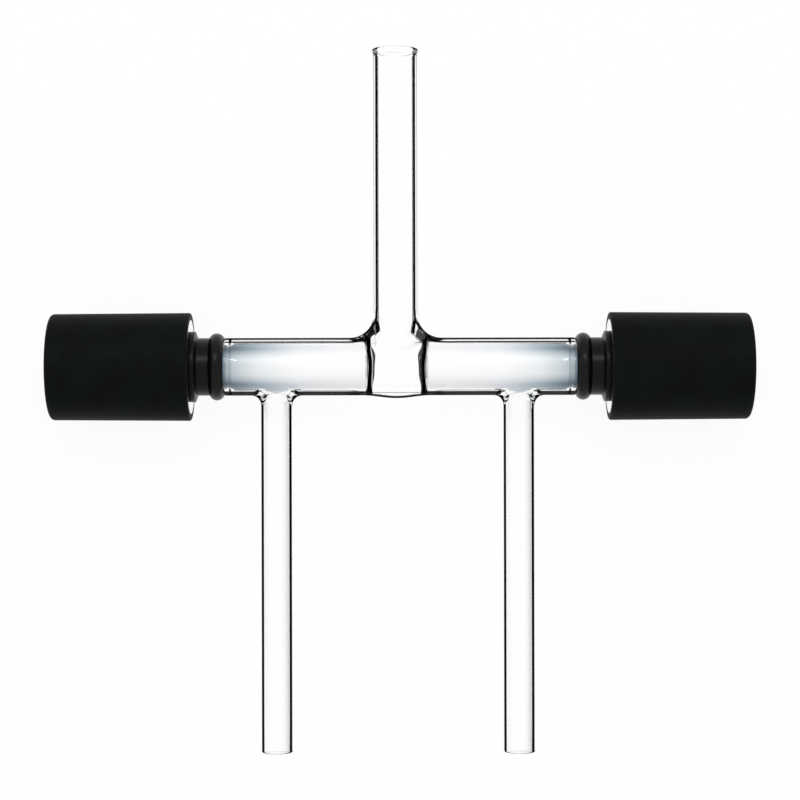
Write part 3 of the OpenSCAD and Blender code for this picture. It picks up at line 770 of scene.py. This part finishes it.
def satin_plastic():
    """Black; a painted pale sheen on the flat end, inside its rounded edge, where seen along its face.
    """
    grain, mottle, painted_sheen_r, edge_from = 0.25 * MM, 9 * MM, 13.5 * MM, 13.7 * MM
    material = new_material("moulded_satin_plastic")
    coordinates = add_node(material, "TexCoord")
    place, normal = coordinates.outputs["Object"], coordinates.outputs["Normal"]
    mottled = add_node(material, "TexNoise", {"Vector": place, "Scale": 1 / mottle, "Detail": 2.0})
    tone = add_node(material, "MapRange", {"Value": mottled, "From Min": 0.35, "From Max": 0.65})
    black = add_node(material, "MixRGB", {
        "Fac": tone, "Color1": linear("#090B0B"), "Color2": linear("#0C1010")})
    facing = add_node(material, "LayerWeight", {"Blend": 0.5}).outputs["Facing"]
    grazing = add_node(material, "MapRange", {"Value": facing, "From Min": 0.84, "From Max": 0.9})
    endways = add_node(material, "SeparateXYZ", {"Vector": normal}).outputs["X"]
    endways = add_node(material, "Math", {0: endways}, operation="ABSOLUTE")
    flat = add_node(material, "MapRange", {"Value": endways, "From Min": 0.95, "From Max": 0.99})
    off_axis = add_node(material, "VectorMath", {0: place, 1: barrel_axis}, operation="SUBTRACT")
    off_axis = add_node(material, "VectorMath", {0: off_axis, 1: (0, 1, 1)}, operation="MULTIPLY")
    off_axis = add_node(material, "VectorMath", {0: off_axis}, operation="LENGTH").outputs["Value"]
    within = add_node(material, "MapRange", {
        "Value": off_axis, "From Min": painted_sheen_r, "From Max": edge_from, "To Min": 1.0, "To Max": 0.0})
    # The painted sheen: pale and mirror-like only where the flat end is seen nearly edge-on
    painted_sheen = add_node(material, "Math", {0: grazing, 1: flat}, operation="MULTIPLY")
    painted_sheen = add_node(material, "Math", {0: painted_sheen, 1: within}, operation="MULTIPLY")
    colour = add_node(material, "MixRGB", {"Fac": painted_sheen, "Color1": black, "Color2": linear("#F4F4F4")})
    rough = add_node(material, "MapRange", {"Value": painted_sheen, "To Min": 0.55, "To Max": 0.12})
    texture = add_node(material, "TexNoise", {"Vector": place, "Scale": 1 / grain, "Detail": 3.0})
    bump = add_node(material, "Bump", {"Height": texture, "Strength": 0.2, "Distance": 0.01 * MM})
    shader = add_node(material, "BsdfPrincipled", {
        "Base Color": colour, "Metallic": painted_sheen, "Roughness": rough, "Specular IOR Level": 0.04,
        "Normal": bump})
    add_node(material, "OutputMaterial", {"Surface": shader})
    return material


dress(satin_plastic(), "knob")


# ---- Retaining screws and washers -----------------------------------------------------------
# Turned stainless steel: a slotted cheese-head screw and a flat washer in each knob's recess, which
# hold the knob's hub to the plug and let it turn.

def turned_steel():
    """Bright, and slightly uneven in its polish."""
    polish = 0.4 * MM
    material = new_material("turned_stainless_steel")
    place = add_node(material, "TexCoord").outputs["Object"]
    noise = add_node(material, "TexNoise", {"Vector": place, "Scale": 1 / polish, "Detail": 4.0})
    rough = add_node(material, "MapRange", {"Value": noise, "To Min": 0.22, "To Max": 0.36})
    shader = add_node(material, "BsdfPrincipled", {
        "Base Color": linear("#C9C8C4"), "Metallic": 1.0, "Roughness": rough})
    add_node(material, "OutputMaterial", {"Surface": shader})
    return material


dress(turned_steel(), "screw_washer", "retaining_screw")


# ---- Studio ---------------------------------------------------------------------------------
# White floor, soft even light, and a camera square to the plane that the tubes lie in. The floor
# looks white to the camera and in glass and gloss, and keeps a share of the object's shadow.

floor_size, floor_whiteness = 4.0, 0.93
bpy.ops.object.select_all(action="DESELECT")
bpy.ops.mesh.primitive_plane_add(size=floor_size, location=(0, 0, 0))
floor = bpy.context.object
floor.name = "studio_floor"
paper = new_material("white_paper")
paper_lit = add_node(paper, "BsdfDiffuse", {"Color": linear("#F4F4F4")})
paper_seen = add_node(paper, "Emission", {"Color": linear(WHITE), "Strength": 1.0})
rays = add_node(paper, "LightPath").outputs
seen = add_node(paper, "Math", {0: rays["Is Camera Ray"], 1: rays["Is Glossy Ray"]}, operation="MAXIMUM")
seen = add_node(paper, "Math", {0: seen, 1: rays["Is Transmission Ray"]}, operation="MAXIMUM")
share = add_node(paper, "Math", {0: seen, 1: floor_whiteness}, operation="MULTIPLY")
mixed = add_node(paper, "MixShader", {0: share, 1: paper_lit, 2: paper_seen})
add_node(paper, "OutputMaterial", {"Surface": mixed})
floor.data.materials.append(paper)

world = bpy.data.worlds.new("soft_room")
bpy.context.scene.world = world
world.use_nodes = True
room = world.node_tree.nodes["Background"].inputs
room["Color"].default_value, room["Strength"].default_value = linear(WHITE), 0.9

lamp_aside, lamp_beyond, lamp_height, lamp_power = 0.26, 0.62, 1.2, 2.2
for name, side in (("left_strip_light", -1), ("right_strip_light", 1)):
    bpy.ops.object.light_add(type="AREA", location=(lamp_aside * side, lamp_beyond, lamp_height))
    lamp = bpy.context.object
    lamp.name = name
    lamp.data.shape, lamp.data.size, lamp.data.size_y = "RECTANGLE", 0.1, 0.3
    lamp.data.energy = lamp_power
    lamp.rotation_euler = (-lamp.location).to_track_quat("-Z", "Y").to_euler()

aim_below_axis, camera_distance, camera_roll = 9.72 * MM, 0.667, math.radians(0.13)
right, up = Vector((1, 0, 0)), Vector((0, math.cos(lean), math.sin(lean)))
right, up = (right * math.cos(camera_roll) - up * math.sin(camera_roll),
             up * math.cos(camera_roll) + right * math.sin(camera_roll))
back = right.cross(up)
aim = barrel_axis * Vector((0, 1, 1)) - up * aim_below_axis
camera_data = bpy.data.cameras.new("camera")
camera_data.lens, camera_data.sensor_width, camera_data.clip_start = 103.5, 36, 0.05
camera = bpy.data.objects.new("camera", camera_data)
bpy.context.scene.collection.objects.link(camera)
turned = Matrix((right, up, back)).transposed().to_4x4()
camera.matrix_world = Matrix.Translation(aim + back * camera_distance) @ turned
bpy.context.scene.camera = camera
bpy.context.scene.view_settings.view_transform = "Standard"
